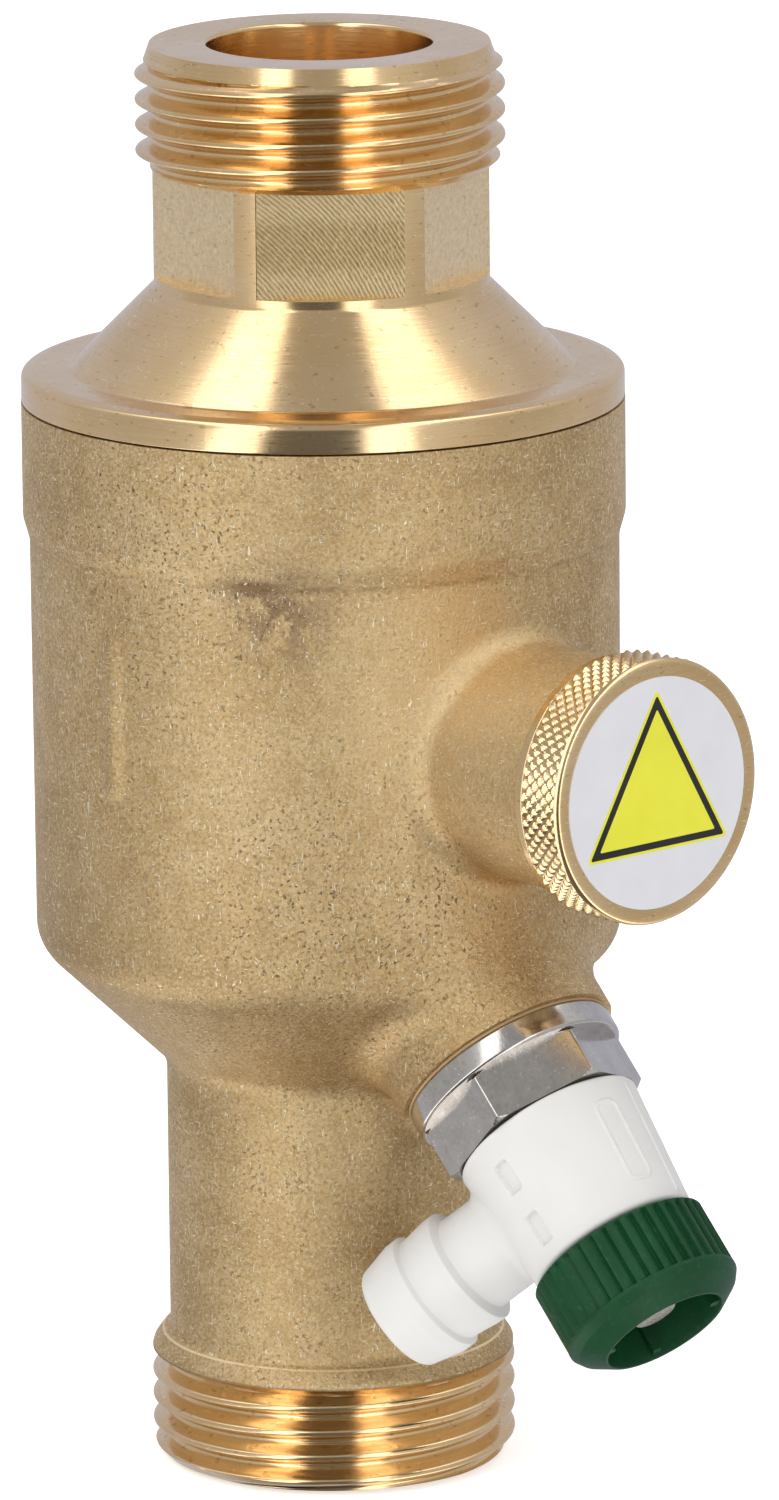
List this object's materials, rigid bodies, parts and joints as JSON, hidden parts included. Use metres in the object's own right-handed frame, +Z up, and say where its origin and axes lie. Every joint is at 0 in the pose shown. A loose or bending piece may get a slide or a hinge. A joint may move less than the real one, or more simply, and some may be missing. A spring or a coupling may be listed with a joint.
{
  "type": "magnetic system filter",
  "caption": "Inline brass magnetic filter with male pipe threads at both ends, a pull-out magnet behind a knurled cap and a swivelling drain valve with hose nozzle.",
  "frame": {"origin": "centre of the lower end face, on the pipe axis", "axes": "+Z up the pipe axis towards the top connector, +X along the magnet boss towards its cap; the drain valve lies in the XZ plane, pointing 45 degrees down and outwards"},
  "size_m": [0.0768, 0.0544, 0.1307],
  "materials": {
    "cast_brass": "satin, sand-blasted casting",
    "machined_brass": "bright turned",
    "nickel_plate": "polished nickel plate",
    "white_plastic": "satin moulded",
    "green_plastic": "satin moulded",
    "label_film": "printed film",
    "seal_rubber": "matte",
    "gasket_fibre": "matte",
    "dark_plastic": "matte",
    "stainless_steel": "fine brushed",
    "magnet_nickel": "plated",
    "pole_steel": "ground",
    "stem_brass": "turned, dull"
  },
  "bodies": {
    "housing": {"filter_body": "cast_brass", "top_connector": "machined_brass", "body_seal_ring": "seal_rubber", "strainer_frame": "dark_plastic", "strainer_sieve": "stainless_steel", "magnet_sleeve": "machined_brass", "sleeve_seal_ring": "seal_rubber", "drain_base": "nickel_plate", "drain_gasket": "gasket_fibre"},
    "magnet_rod": {"magnet_tube": "stainless_steel", "magnet_disc_1": "magnet_nickel", "magnet_disc_2": "magnet_nickel", "magnet_disc_3": "magnet_nickel", "magnet_disc_4": "magnet_nickel", "pole_piece_1": "pole_steel", "pole_piece_2": "pole_steel", "pole_piece_3": "pole_steel", "pole_piece_4": "pole_steel", "magnet_plug": "machined_brass"},
    "cap": {"magnet_cap": "machined_brass", "cap_clip": "stainless_steel", "cap_seal_ring": "seal_rubber", "cap_label": "label_film"},
    "outlet": {"valve_body": "white_plastic", "swivel_seal_1": "seal_rubber", "swivel_seal_2": "seal_rubber", "swivel_retainer": "stainless_steel"},
    "valve_disc": {"washer_carrier": "stem_brass", "seat_washer": "seal_rubber"},
    "knob": {"drain_knob": "green_plastic", "valve_stem": "stem_brass", "stem_seal_ring": "seal_rubber"}
  },
  "joints": [
    {"name": "magnet_withdraw", "type": "slide", "parent": "housing", "child": "magnet_rod", "axis": [1, 0, 0], "range_m": [0, 0.055]},
    {"name": "cap_turn", "type": "hinge", "parent": "magnet_rod", "child": "cap", "pos_m": [0.0444, 0, 0.0692], "axis": [1, 0, 0], "range_deg": [0, 1080]},
    {"name": "outlet_swivel", "type": "hinge", "parent": "housing", "child": "outlet", "pos_m": [0.03373, 0, 0.03147], "axis": [0.7071, 0, -0.7071], "range_deg": [-315, 12]},
    {"name": "stem_lift", "type": "slide", "parent": "outlet", "child": "valve_disc", "axis": [0.7071, 0, -0.7071], "range_m": [0, 0.003]},
    {"name": "knob_turn", "type": "hinge", "parent": "valve_disc", "child": "knob", "pos_m": [0.04243, 0, 0.02277], "axis": [0.7071, 0, -0.7071], "range_deg": [0, 720]}
  ],
  "couplings": [
    {"joint": "knob_turn", "follows": "stem_lift", "rad_per_m": 4188.8}
  ]
}
